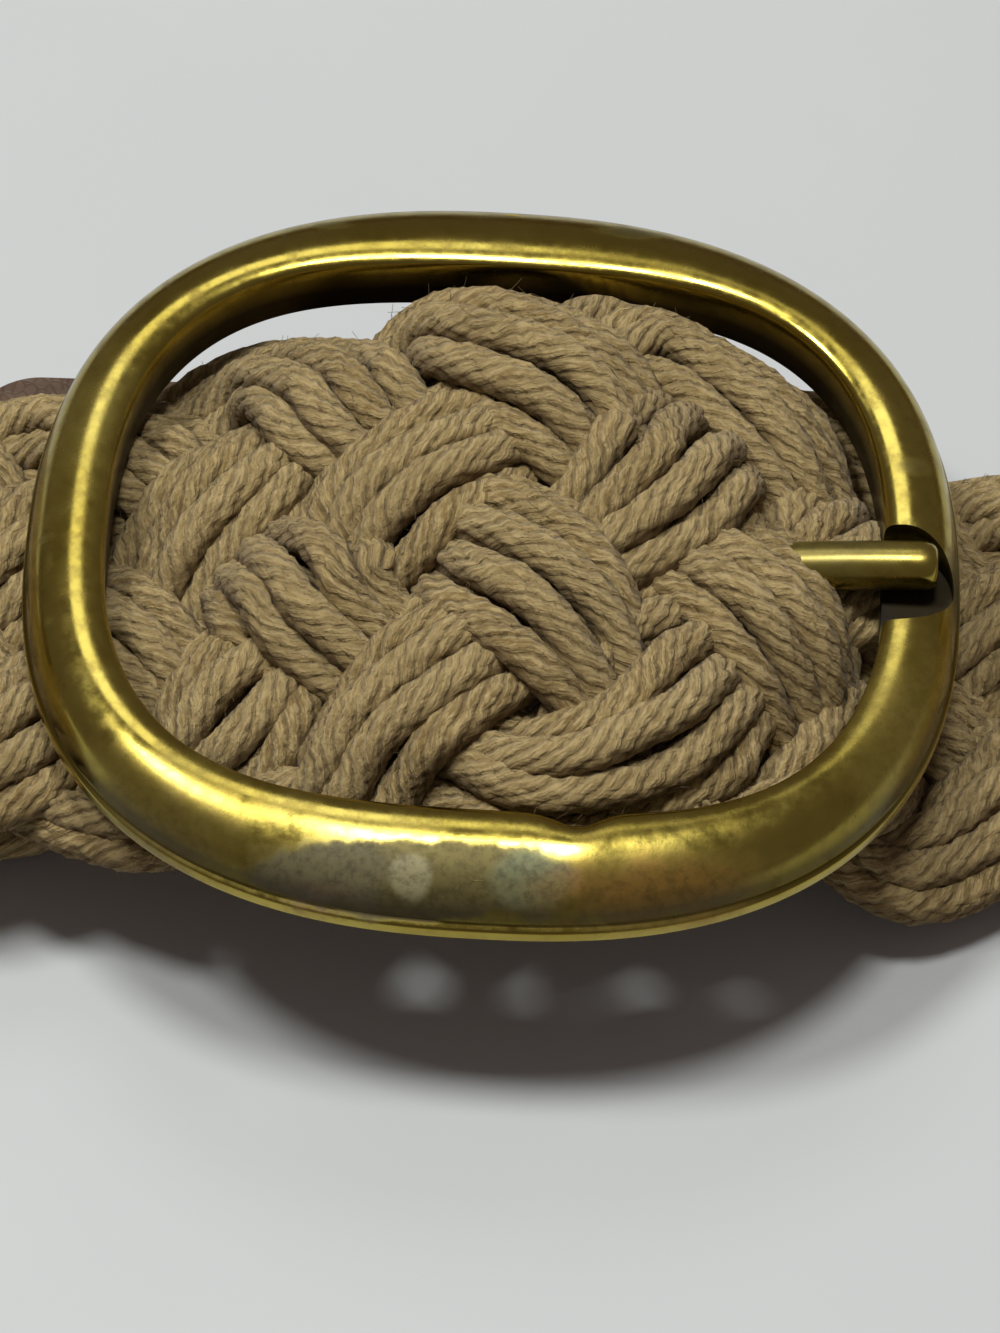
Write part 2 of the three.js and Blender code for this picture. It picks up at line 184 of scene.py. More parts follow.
routeColumns = ("x", "y", "lift", "twist", "width", "thick", "crown")
route = [
    (-17, 4, 5.5, 0, 37, 6.8, 0),
    (-32, 4, 5.5, 0, 37, 6.8, 0),
    (-46, 3.4, 5.6, 0, 38, 6.9, 0),
    (-62, 1.6, 4.5, 0, 40, 8.2, 0),
    (-92, 0, 4.2, 0, 42, 8.4, 0),
    (-122, 0, 4.2, 3, 42, 8.4, 0),
    (-160, 5, 0, 34, 42, 8.4, 0),
    (-196, 27, 0, 70, 42, 8.4, 0),
    (-213, 64, 0, 88, 42, 8.4, 0),
    (-206, 106, 0, 90, 42, 8.4, 0),
    (-176, 142, 0, 90, 42, 8.4, 0),
    (-132, 166, 0, 90, 42, 8.4, 0),
    (-82, 179, 0, 90, 42, 8.4, 0),
    (-30, 183, 0, 90, 42, 8.4, 0),
    (22, 179, 0, 90, 42, 8.4, 0),
    (72, 166, 0, 90, 42, 8.4, 0),
    (116, 142, 0, 90, 42, 8.4, 0),
    (146, 106, 0, 90, 42, 8.4, 0),
    (153, 64, 0, 88, 42, 8.4, 0),
    (137, 27, 0, 68, 41.5, 8.4, 0),
    (102, 5, 0, 30, 41, 8.4, 0),
    (72, 0, 4.2, 4, 41, 8.4, 0),
    (52, -0.4, 4.6, 0, 41, 8.2, 0),
    (42, -0.3, 5.8, 0, 42, 7.8, 0.2),
    (34, -0.3, 7.2, 0, 45, 7, 0.6),
    (25, -0.3, 12.6, 1.5, 48, 7.2, 6.6),
    (13, -0.9, 19.3, 3, 53, 8.4, 7.2),
    (0, -0.8, 25.4, 4, 51.2, 8.4, 2.4),
    (-13, -0.1, 18.8, 3, 51.2, 8.4, 6.2),
    (-25, 0.2, 15.7, 1.5, 47.5, 7.4, 3),
    (-36, 0, 15.2, 0, 45, 7, 0.8),
    (-48, 0, 15.6, 0, 44, 7.2, 0),
    (-64, 0, 13.3, 0, 43.5, 8.2, 0),
    (-82, 0, 13, 0, 42.5, 8.4, 0),
    (-100, 0, 13, 0, 42, 8.4, 0),
]


def routeAt(t):
    last = len(route) - 1
    i = min(int(t), last - 1)
    f = t - i
    rows = (route[max(i - 1, 0)], route[i], route[i + 1], route[min(i + 2, last)])
    here = {}
    for column, a, b, c, d in zip(routeColumns, *rows):
        here[column] = b + 0.5 * f * (c - a + f * (2 * a - 5 * b + 4 * c - d + f * (3 * (b - c) + d - a)))
    turn = math.radians(here["twist"])
    resting = 0.5 * (here["width"] * math.sin(turn) + here["thick"] * math.cos(turn))
    here["turn"] = turn
    here["middle"] = Vector((here["x"], here["y"], max(here["lift"], resting)))
    return here


# Even places along the band, with its directions and its size there.
def makeStations(perRow=60, nearby=0.02):
    spacing = plait["spacing"]
    samples = [routeAt(i / perRow) for i in range((len(route) - 1) * perRow + 1)]
    reached = [0.0]
    for before, after in zip(samples, samples[1:]):
        reached.append(reached[-1] + (after["middle"] - before["middle"]).length)
    stations = []
    i = 1
    for step in range(int(reached[-1] / spacing) + 1):
        wanted = step * spacing
        while reached[i] < wanted:
            i += 1
        f = (wanted - reached[i - 1]) / (reached[i] - reached[i - 1])
        t = (i - 1 + f) / perRow
        here = routeAt(t)
        ahead = routeAt(min(t + nearby, len(route) - 1))["middle"]
        along = (ahead - routeAt(max(t - nearby, 0))["middle"]).normalized()
        outward = Vector((-along.y, along.x, 0)).normalized()
        upright = along.cross(outward)
        face = upright * math.cos(here["turn"]) + outward * math.sin(here["turn"])
        stations.append({
            "middle": here["middle"],
            "face": face,
            "across": along.cross(face),
            "wide": here["width"] / plait["width"],
            "deep": here["thick"] / plait["thickness"],
            "crown": here["crown"],
        })
    return stations


stations = makeStations()
bandLength = (len(stations) - 1) * plait["spacing"]


def stationAt(length):
    place = clamp(length, 0, bandLength - 1e-6) / plait["spacing"]
    i = int(place)
    f = place - i
    before, after = stations[i], stations[i + 1]
    here = {key: before[key].lerp(after[key], f) for key in ("middle", "face", "across")}
    for key in ("wide", "deep", "crown"):
        here[key] = before[key] + (after[key] - before[key]) * f
    return here


# Place of a strand across the band, from -1 to 1.
def swing(turns):
    softness = plait["softness"]
    return math.asin(softness * math.cos(2 * math.pi * turns)) / math.asin(softness)


# Height of a strand, from -1 to 1. It passes over and under in turn, and slowly at the edges.
def weave(turns):
    within = turns - round(turns)
    t = abs(within)
    crossing = 0.5 / plait["strands"]
    height = math.cos(math.pi * (t - crossing) / crossing)
    if t < crossing:
        height = math.cos(0.5 * math.pi * (crossing - t) / crossing)
    if t > 0.5 - crossing:
        height = -math.cos(0.5 * math.pi * (t - 0.5 + crossing) / crossing)
    return height if within < 0 else -height


def strandAt(strand, length):
    station = stationAt(length)
    turns = length / plait["period"] + strand / plait["strands"] + plait["phase"]
    side = swing(turns)
    height = plait["lift"] * weave(turns) * station["deep"]
    height += station["crown"] * (1 - (2 * plait["reach"] * side / plait["width"]) ** 2)
    point = station["middle"] + station["across"] * (plait["reach"] * side * station["wide"])
    return {
        **station,
        "point": point + station["face"] * height,
        "edge": smoothstep(plait["edgeFrom"], 1.0, abs(side)),
        "swell": 1 + plait["swell"] * weave(turns),
    }


def stray(seed, length):
    rng = random.Random(seed)
    return sum(size * math.sin(2 * math.pi * (length / span + rng.random()))
               for span, size in plait["strayWaves"])


# Points of a cord from start to end, each with the strand's directions there.
def cordPath(strand, number, start, end, step, nearby=0.6):
    points = []
    count = max(2, int((end - start) / step))
    aside, out = bundle[number]
    seed = 31 * strand + number
    for i in range(count + 1):
        length = start + (end - start) * i / count
        here = strandAt(strand, length)
        ahead = strandAt(strand, min(length + nearby, bandLength))["point"]
        behind = strandAt(strand, max(length - nearby, 0))["point"]
        along = (ahead - behind).normalized()
        side = here["face"].cross(along).normalized()
        up = along.cross(side)
        pinch = (1 - plait["edgePinch"] * here["edge"]) * here["swell"]
        rise = (1 + plait["edgeRise"] * here["edge"]) * here["swell"] ** 2
        shiftAside = aside * pinch * here["wide"] + plait["strayAside"] * stray(seed, length)
        shiftOut = out * rise * here["deep"]
        shiftOut += plait["strayOut"] * stray(seed + plait["outSeed"], length)
        points.append((here["point"] + side * shiftAside + up * shiftOut, side, up))
    return points


# Sweeps a round section along every spline, raises its flutes and lumps, and keeps where
# each point lies on its cord.
def cordGroup():
    group = bpy.data.node_groups.new("round cords", "GeometryNodeTree")
    sockets = (("Radius", "Float"), ("Sides", "Int"), ("Flutes", "Float"), ("Lay", "Float"),
               ("Flute Depth", "Float"), ("Lump Depth", "Float"), ("Material", "Material"))
    group.interface.new_socket("Geometry", in_out="INPUT", socket_type="NodeSocketGeometry")
    for name, kind in sockets:
        group.interface.new_socket(name, in_out="INPUT", socket_type="NodeSocket" + kind)
    group.interface.new_socket("Geometry", in_out="OUTPUT", socket_type="NodeSocketGeometry")
    given = addNode(group, "NodeGroupInput").outputs
    parameter = addNode(group, "GeometryNodeSplineParameter")
    index = addNode(group, "GeometryNodeInputIndex")
    along = addNode(group, "GeometryNodeStoreNamedAttribute",
                    {"Geometry": given["Geometry"], "Name": "along", "Value": parameter.outputs["Length"]},
                    data_type="FLOAT", domain="POINT")
    number = addNode(group, "GeometryNodeStoreNamedAttribute",
                     {"Geometry": along.outputs["Geometry"], "Name": "cord", "Value": index.outputs[0]},
                     data_type="FLOAT", domain="CURVE")
    circle = addNode(group, "GeometryNodeCurvePrimitiveCircle",
                     {"Resolution": given["Sides"], "Radius": given["Radius"]})
    position = addNode(group, "GeometryNodeInputPosition").outputs[0]
    direction = addNode(group, "ShaderNodeVectorMath", {0: position}, operation="NORMALIZE")
    around = addNode(group, "GeometryNodeStoreNamedAttribute",
                     {"Geometry": circle.outputs["Curve"], "Name": "around",
                      "Value": direction.outputs["Vector"]},
                     data_type="FLOAT_VECTOR", domain="POINT")
    sweep = addNode(group, "GeometryNodeCurveToMesh",
                    {"Curve": number.outputs["Geometry"], "Profile Curve": around.outputs["Geometry"],
                     "Fill Caps": True})
    turned = fluteTurn(group, namedValue(group, "along", "FLOAT"),
                       namedValue(group, "around", "FLOAT_VECTOR"), position, given["Flutes"], given["Lay"])
    flute = math2(group, "ABSOLUTE", math2(group, "COSINE", turned))
    raised = math2(group, "SUBTRACT", flute, cord["fluteMiddle"])
    raised = math2(group, "MULTIPLY", raised, given["Flute Depth"])
    lumps = math2(group, "SUBTRACT", noise(group, position, *cord["lumpNoise"]), 0.5)
    raised = math2(group, "MULTIPLY_ADD", lumps, given["Lump Depth"], raised)
    # How far a point faces sideways or down, kept as the mask of painted shade in the valleys between
    # cords.
    normal = addNode(group, "GeometryNodeInputNormal").outputs["Normal"]
    upness = addNode(group, "ShaderNodeSeparateXYZ", {0: normal}).outputs["Z"]
    valleyShade = addNode(group, "GeometryNodeStoreNamedAttribute",
                     {"Geometry": sweep.outputs["Mesh"], "Name": "valleyShade",
                      "Value": mapRange(group, upness, *cord["valleyShade"])},
                     data_type="FLOAT", domain="POINT")
    offset = addNode(group, "ShaderNodeVectorMath", {0: normal, "Scale": raised}, operation="SCALE")
    shaped = addNode(group, "GeometryNodeSetPosition",
                     {"Geometry": valleyShade.outputs["Geometry"], "Offset": offset.outputs["Vector"]})
    smooth = addNode(group, "GeometryNodeSetShadeSmooth", {"Geometry": shaped.outputs["Geometry"]})
    finish = addNode(group, "GeometryNodeSetMaterial",
                     {"Geometry": smooth.outputs["Geometry"], "Material": given["Material"]})
    result = addNode(group, "NodeGroupOutput")
    group.links.new(finish.outputs["Geometry"], result.inputs["Geometry"])
    return group


def namedValue(group, name, kind):
    node = addNode(group, "GeometryNodeInputNamedAttribute", {"Name": name}, data_type=kind)
    return node.outputs["Attribute"]


# Half the angle of the flutes at a point of a cord. They wander a little.
def fluteTurn(tree, along, around, position, flutes, lay):
    parts = addNode(tree, "ShaderNodeSeparateXYZ", {0: around}).outputs
    angle = math2(tree, "ARCTAN2", parts["Y"], parts["X"])
    laid = math2(tree, "DIVIDE", math2(tree, "MULTIPLY", along, 2 * math.pi), lay)
    half = math2(tree, "MULTIPLY", flutes, 0.5)
    even = math2(tree, "MULTIPLY", math2(tree, "ADD", angle, laid), half)
    drift = math2(tree, "SUBTRACT", noise(tree, position, *cord["wanderNoise"]), 0.5)
    return math2(tree, "MULTIPLY_ADD", drift, cord["wander"], even)


sweepGroup = cordGroup()


# A mesh with a cord along each path. Its radius and depths are in millimetres.
def cordsToMesh(name, paths, material, sides, radius, fluteDepth=0.0, lumpDepth=0.0):
    curve = bpy.data.curves.new(name + " route", "CURVE")
    curve.dimensions = "3D"
    for path in paths:
        spline = curve.splines.new("POLY")
        spline.points.add(len(path) - 1)
        for target, point in zip(spline.points, path):
            target.co = (*toFrame(point), 1)
    routeObject = bpy.data.objects.new(name + " route", curve)
    bpy.context.collection.objects.link(routeObject)
    modifier = routeObject.modifiers.new("sweep", "NODES")
    modifier.node_group = sweepGroup
    values = {"Material": material, "Flutes": cord["flutes"], "Lay": cord["lay"] * mm, "Sides": sides,
              "Radius": radius * mm, "Flute Depth": fluteDepth * mm, "Lump Depth": lumpDepth * mm}
    for item in sweepGroup.interface.items_tree:
        if item.in_out == "INPUT" and item.name in values:
            modifier[item.identifier] = values[item.name]
    bpy.context.view_layer.update()
    evaluated = routeObject.evaluated_get(bpy.context.evaluated_depsgraph_get())
    mesh = bpy.data.meshes.new_from_object(evaluated)
    mesh.name = name
    bpy.data.objects.remove(routeObject)
    piece = bpy.data.objects.new(name, mesh)
    bpy.context.collection.objects.link(piece)
    if not mesh.materials:
        mesh.materials.append(material)
    return piece


# Cotton

cotton = {
    "colour": (0.41, 0.285, 0.115, 1),
    "light": (0.62, 0.47, 0.225, 1),
    "dark": (0.21, 0.135, 0.045, 1),
    "creaseShade": (0.12, 0.07, 0.022, 1),
    "roughness": 0.92,
    "sheen": 0.15,
    "specular": 0.15,
    # Fibres follow the yarns: their stretch along a cord, round it, and from cord to cord.
    "fibreStretch": (430.0, 0.62, 7.31),
    "fibreNoise": (2.2, 5.0, 0.62),
    "fibreRange": (0.36, 0.64),
    "fibreBump": (0.5, 1.0),
    "evenness": 0.3,
    "fluffNoise": (2300.0, 3.0, 0.6),
    "fluffBump": (0.2, 0.8),
    "yarnBump": (0.12, 0.5),
    "fluteStrength": 0.9,
    # Painted shade in the grooves between the flutes, broken up by noise.
    "fluteShadeNoise": (560.0, 3.0, 0.6),
    "fluteShadeRange": (0.36, 0.6, 0.12, 0.85),
    "fluteShadeWidth": (0.0, 0.62, 1.0, 0.0),
    "patchNoise": (90.0, 3.0, 0.5),
    "patchRange": (0.4, 0.75, 0.0, 0.35),
    "cordTones": 0.25,
}


# The material adds to the flutes' depth by bump, and paints shade into the valleys between cords and the
# grooves between flutes.
def cottonMaterial(name, fluteDepth, creaseShading):
    material, tree, shader = newMaterial(name)
    coordinates = addNode(tree, "ShaderNodeTexCoord").outputs["Object"]
    along = attribute(tree, "along")
    number = attribute(tree, "cord")
    around = attribute(tree, "around", "Vector")
    turned = fluteTurn(tree, along, around, coordinates, cord["flutes"], cord["lay"] * mm)
    stretched = [math2(tree, "MULTIPLY", value, stretch)
                 for value, stretch in zip((along, turned, number), cotton["fibreStretch"])]
    fibreVector = addNode(tree, "ShaderNodeCombineXYZ", dict(enumerate(stretched))).outputs[0]
    fibres = noise(tree, fibreVector, *cotton["fibreNoise"])
    fluff = noise(tree, coordinates, *cotton["fluffNoise"])
    patches = noise(tree, coordinates, *cotton["patchNoise"])
    flute = math2(tree, "ABSOLUTE", math2(tree, "COSINE", turned))
    yarns = math2(tree, "ABSOLUTE", math2(tree, "SINE", math2(tree, "MULTIPLY", turned, 2.0)))
    chance = addNode(tree, "ShaderNodeTexWhiteNoise", {"W": number}, noise_dimensions="1D")
    cordTone = math2(tree, "MULTIPLY", chance.outputs["Value"], cotton["cordTones"])
    shade = mixColour(tree, mapRange(tree, fibres, *cotton["fibreRange"]), cotton["dark"], cotton["light"])
    shade = mixColour(tree, cotton["evenness"], shade, cotton["colour"])
    # Painted shade: the grooves between the flutes are darkened.
    broken = mapRange(tree, noise(tree, coordinates, *cotton["fluteShadeNoise"]), *cotton["fluteShadeRange"])
    fluteShade = math2(tree, "MULTIPLY", mapRange(tree, flute, *cotton["fluteShadeWidth"]), broken)
    shade = mixColour(tree, fluteShade, shade, cotton["dark"])
    shade = mixColour(tree, mapRange(tree, patches, *cotton["patchRange"]), shade, cotton["dark"])
    shade = mixColour(tree, cordTone, shade, cotton["light"])
    # Painted shade: the sides of the cords and the valleys between them are darkened.
    creaseShade = math2(tree, "MULTIPLY", attribute(tree, "valleyShade"), creaseShading)
    shade = mixColour(tree, creaseShade, shade, cotton["creaseShade"])
    tree.links.new(shade, shader.inputs["Base Color"])
    shader.inputs["Roughness"].default_value = cotton["roughness"]
    shader.inputs["Sheen Weight"].default_value = cotton["sheen"]
    shader.inputs["Specular IOR Level"].default_value = cotton["specular"]
    normal = bump(tree, fibres, *cotton["fibreBump"])
    normal = bump(tree, fluff, *cotton["fluffBump"], normal)
    normal = bump(tree, yarns, *cotton["yarnBump"], normal)
    if fluteDepth:
        normal = bump(tree, flute, fluteDepth, cotton["fluteStrength"], normal)
    tree.links.new(normal, shader.inputs["Normal"])
    return material


frontCotton = cottonMaterial("cotton cords in front", 0.2, 0.62)
bandCotton = cottonMaterial("cotton cords", 0.35, 0)
fluffCotton = cottonMaterial("cotton fluff", 0, 0)


def buildStrand(strand):
    start, end = (bandLength - back for back in plait["front"])
    lap = plait["lap"]
    detailed = [cordPath(strand, number, start - lap, end + lap, cord["frontStep"])
                for number in range(len(bundle))]
    rest = [cordPath(strand, number, *stretch, cord["bandStep"])
            for number in range(len(bundle)) for stretch in ((0, start), (end, bandLength))]
    frontLines, bandLines = ([[row[0] for row in path] for path in paths] for paths in (detailed, rest))
    pieces = (
        cordsToMesh(f"strand_front_{strand + 1}", frontLines, frontCotton, cord["frontSides"],
                    cord["radius"], cord["fluteDepth"], cord["lumpDepth"]),
        cordsToMesh(f"strand_band_{strand + 1}", bandLines, bandCotton, cord["bandSides"], cord["radius"]),
    )
    for piece in pieces:
        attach(piece, "root")
        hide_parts("belt_braid")
    return pieces, detailed


# Loose fibre ends that stand off the cords in front. They start a little inside their cord.
fluff = {
    "hairs": 1100,
    "seed": 900,
    "radius": 0.022,
    "sides": 3,
    "rootIn": 0.1,
    "length": (0.8, 2.6),
    "lean": 0.75,
    "curl": 0.4,
}


def buildFluff(strand, paths):
    rng = random.Random(fluff["seed"] + strand)
    hairs = []
    for hair in range(fluff["hairs"]):
        path = rng.choice(paths)
        i = rng.randrange(len(path) - 1)
        point, side, up = path[i]
        along = (path[i + 1][0] - point).normalized() * rng.choice((-1, 1))
        turn = rng.uniform(-0.5, math.pi + 0.5)
        out = side * math.cos(turn) + up * math.sin(turn)
        length = rng.uniform(*fluff["length"])
        curl = side.lerp(up, rng.random()) * rng.uniform(-fluff["curl"], fluff["curl"])
        root = point + out * (cord["radius"] - fluff["rootIn"])
        middle = root + (out * (1 - fluff["lean"]) + along * fluff["lean"]) * length * 0.5
        tip = middle + (out * rng.uniform(0.1, 0.9) + along * rng.uniform(0.2, 1) + curl) * length * 0.5
        hairs.append([root, middle, tip])
    piece = cordsToMesh(f"strand_fluff_{strand + 1}", hairs, fluffCotton, fluff["sides"], fluff["radius"])
    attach(piece, "root")
    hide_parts("belt_braid")
    return piece


for strand in range(plait["strands"]):
    pieces, detailed = buildStrand(strand)
    fluffPiece = buildFluff(strand, detailed)
    print("strand", strand + 1, [len(piece.data.polygons) for piece in (*pieces, fluffPiece)])

# Buckle

buckle = {
    "halfLength": 38.8,
    "halfHeight": 36.55,
    "squareness": 2.41,
    "barHeight": 5.6,
    "endDrop": 1.1,
    "bottomAtMiddle": 21.3,
    "shiftFar": buckleShift,
    "tilt": 2.1,
    "yaw": -2.5,
    "width": {"left": 6.9, "right": 6.6, "far": 9.3, "near": 9.1},
    "swell": 6,
    "endCrest": 0.6,
    "dent": {"x": 8.6, "halfSpan": 2.6, "depth": 1.3},
    # The hollow is lower beside the notch, and has its height again at the second distance.
    "hollowLow": 0.3,
    "hollowRise": (6.5, 9.0),
    # Masks, in parts of the section.
    "wallShadeMask": {"across": 0.05, "up": (0.5, 0.86)},
    "grooveMask": {"across": 0.94, "halfWidth": 0.07, "up": (0.2, 0.6)},
    "sides": 288,
}

# Section of the ring: parts of its width from the inner wall out, and of its height.
outerSection = [
    (0.0, 0.0), (0.0, 0.36), (0.0, 0.68), (0.006, 0.78), (0.025, 0.86), (0.06, 0.913), (0.1, 0.94),
    (0.16, 0.962), (0.22, 0.98), (0.3, 0.995), (0.38, 1.0), (0.46, 0.991), (0.54, 0.965),
    (0.62, 0.928), (0.7, 0.874), (0.78, 0.79), (0.85, 0.67), (0.9, 0.53), (0.93, 0.4), (0.946, 0.3),
    (0.954, 0.23), (0.966, 0.21), (0.985, 0.2), (0.997, 0.175), (1.0, 0.14), (1.0, 0.0),
]
hollowSection = [
    (0.84, 0.0), (0.83, 0.42), (0.74, 0.6), (0.56, 0.73), (0.38, 0.78), (0.25, 0.76), (0.17, 0.62),
    (0.15, 0.4), (0.15, 0.0),
]


# From the buckle's own place, flat and with its middle at 0, to where it lies.
def tiltMatrix():
    place = Matrix.Translation((0, buckle["shiftFar"], buckle["bottomAtMiddle"]))
    tilt = Matrix.Rotation(math.radians(buckle["tilt"]), 4, "Y")
    return place @ tilt @ Matrix.Rotation(math.radians(buckle["yaw"]), 4, "Z")


# The ring's outline is a superellipse.
def rimPoint(angle):
    power = 2 / buckle["squareness"]
    c, s = math.cos(angle), math.sin(angle)
    x = buckle["halfLength"] * math.copysign(abs(c) ** power, c)
    y = buckle["halfHeight"] * math.copysign(abs(s) ** power, s)
    return Vector((x, y, 0))


def rimOutward(point):
    power = buckle["squareness"] - 1
    a, b = buckle["halfLength"], buckle["halfHeight"]
    x = math.copysign(abs(point.x / a) ** power, point.x) / a
    y = math.copysign(abs(point.y / b) ** power, point.y) / b
    return Vector((x, y, 0)).normalized()


def barWidthAt(angle):
    c, s = math.cos(angle), math.sin(angle)
    sides = buckle["width"]
    alongX = sides["right"] if c > 0 else sides["left"]
    alongY = sides["far"] if s > 0 else sides["near"]
    return alongX + (alongY - alongX) * abs(s) ** buckle["swell"]


# The inner wall and the hollow are kept as a mask for painted shade, and the groove above the rim lip as a
# mask for a painted dark reflection. The notch keeps a thin floor.
def shapeRing(bm):
    wallShadeMask, grooveMask, dent = buckle["wallShadeMask"], buckle["grooveMask"], buckle["dent"]
    wallShade = bm.verts.layers.float.new("wallShade")
    groove = bm.verts.layers.float.new("groove")
    for vert in bm.verts:
        angle = math.atan2(vert.co.y, vert.co.x)
        across, up = math.hypot(vert.co.x, vert.co.y) - 1, vert.co.z
        hollow = inHollow(across, up)
        vert[wallShade] = float(hollow)
        if across < wallShadeMask["across"]:
            vert[wallShade] = 1 - smoothstep(*wallShadeMask["up"], up)
        if grooveMask["up"][0] < up < grooveMask["up"][1]:
            vert[groove] = clamp(1 - abs(across - grooveMask["across"]) / grooveMask["halfWidth"])
        rim = rimPoint(angle)
        if hollow and rim.x > 0:
            low = buckle["hollowLow"]
            vert.co.z *= low + (1 - low) * smoothstep(*buckle["hollowRise"], abs(rim.y - notch["y"]))
        nearEnd = smoothstep(0.3, 0.95, abs(math.sin(angle)))
        across -= buckle["endCrest"] * nearEnd * across * (1 - across)
        inward = (1 - across) * barWidthAt(angle)
        if rim.y < 0:
            gap = (rim.x - dent["x"]) / dent["halfSpan"]
            inward -= dent["depth"] * math.exp(-gap * gap) * (1 - across) ** 2
        spot = rim - rimOutward(rim) * inward
        drop = buckle["endDrop"] * (spot.x / buckle["halfLength"]) ** 2
        vert.co = Vector((spot.x, spot.y, vert.co.z * buckle["barHeight"] - drop))


def inHollow(across, up, within=1e-4):
    return any(abs(across - a) < within and abs(up - b) < within for a, b in hollowSection)


# Turns a profile round the Z axis. Its points say how far out and how far up they are.
def spinProfile(bm, profile, sides, closed):
    verts = [bm.verts.new((out, 0, up)) for out, up in profile]
    after = verts[1:] + verts[:1] if closed else verts[1:]
    edges = [bm.edges.new(pair) for pair in zip(verts, after)]
    bmesh.ops.spin(bm, geom=verts + edges, cent=(0, 0, 0), axis=(0, 0, 1), angle=2 * math.pi,
                   steps=sides, use_merge=True)
    bmesh.ops.remove_doubles(bm, verts=bm.verts, dist=1e-5)


def meshObject(name, bm, material, smoothAngle=40):
    bmesh.ops.recalc_face_normals(bm, faces=bm.faces)
    mesh = bpy.data.meshes.new(name)
    bm.to_mesh(mesh)
    bm.free()
    mesh.shade_smooth()
    mesh.set_sharp_from_angle(angle=math.radians(smoothAngle))
    mesh.materials.append(material)
    piece = bpy.data.objects.new(name, mesh)
    bpy.context.collection.objects.link(piece)
    return piece


# Millimetres to metres in the frame.
def toWorld(bm, matrix):
    bmesh.ops.transform(bm, matrix=matrix, verts=bm.verts)
    bmesh.ops.transform(bm, matrix=Matrix.Translation(origin) @ Matrix.Scale(mm, 4), verts=bm.verts)


def applyBoolean(piece, cutter, operation):
    modifier = piece.modifiers.new("cut", "BOOLEAN")
    modifier.operation = operation
    modifier.solver = "EXACT"
    modifier.object = cutter
    bpy.context.view_layer.update()
    evaluated = piece.evaluated_get(bpy.context.evaluated_depsgraph_get())
    mesh = bpy.data.meshes.new_from_object(evaluated)
    piece.modifiers.clear()
    piece.data = mesh
    bpy.data.objects.remove(cutter)


brass = {
    "colour": (0.355, 0.272, 0.045, 1),
    "pale": (0.455, 0.365, 0.08, 1),
    "brown": (0.20, 0.125, 0.03, 1),
    "dark": (0.035, 0.024, 0.008, 1),
    # Noises, and the range over which each one sets in and what it gives.
    "broadNoise": (70.0, 4.0, 0.6),
    "fineNoise": (520.0, 6.0, 0.65),
    "speckleNoise": (1500.0, 3.0, 0.6),
    "raggedNoise": (330.0, 4.0, 0.6),
    "mottleNoise": (1100.0, 5.0, 0.7),
    "paleRange": (0.35, 0.7),
    "brownRange": (0.45, 0.75, 0.0, 0.5),
    "darkRange": (0.66, 0.8, 0.0, 0.5),
    "mottleRange": (0.4, 0.66),
    "roughnessRange": (0.3, 0.8, 0.15, 0.32),
    # Every spot, the tarnish and the painted light and shade alike, is mottled with a darker tone and less
    # metallic than the brass.
    "mottleTone": 0.55,
    "metalLoss": -0.4,
    # Strength of the painted dark reflection in the groove above the rim lip.
    "grooveDarkReflection": 0.9,
    "wallRoughness": 0.25,
    "fineBump": (0.03, 0.35),
    "speckleBump": (0.015, 0.35),
}

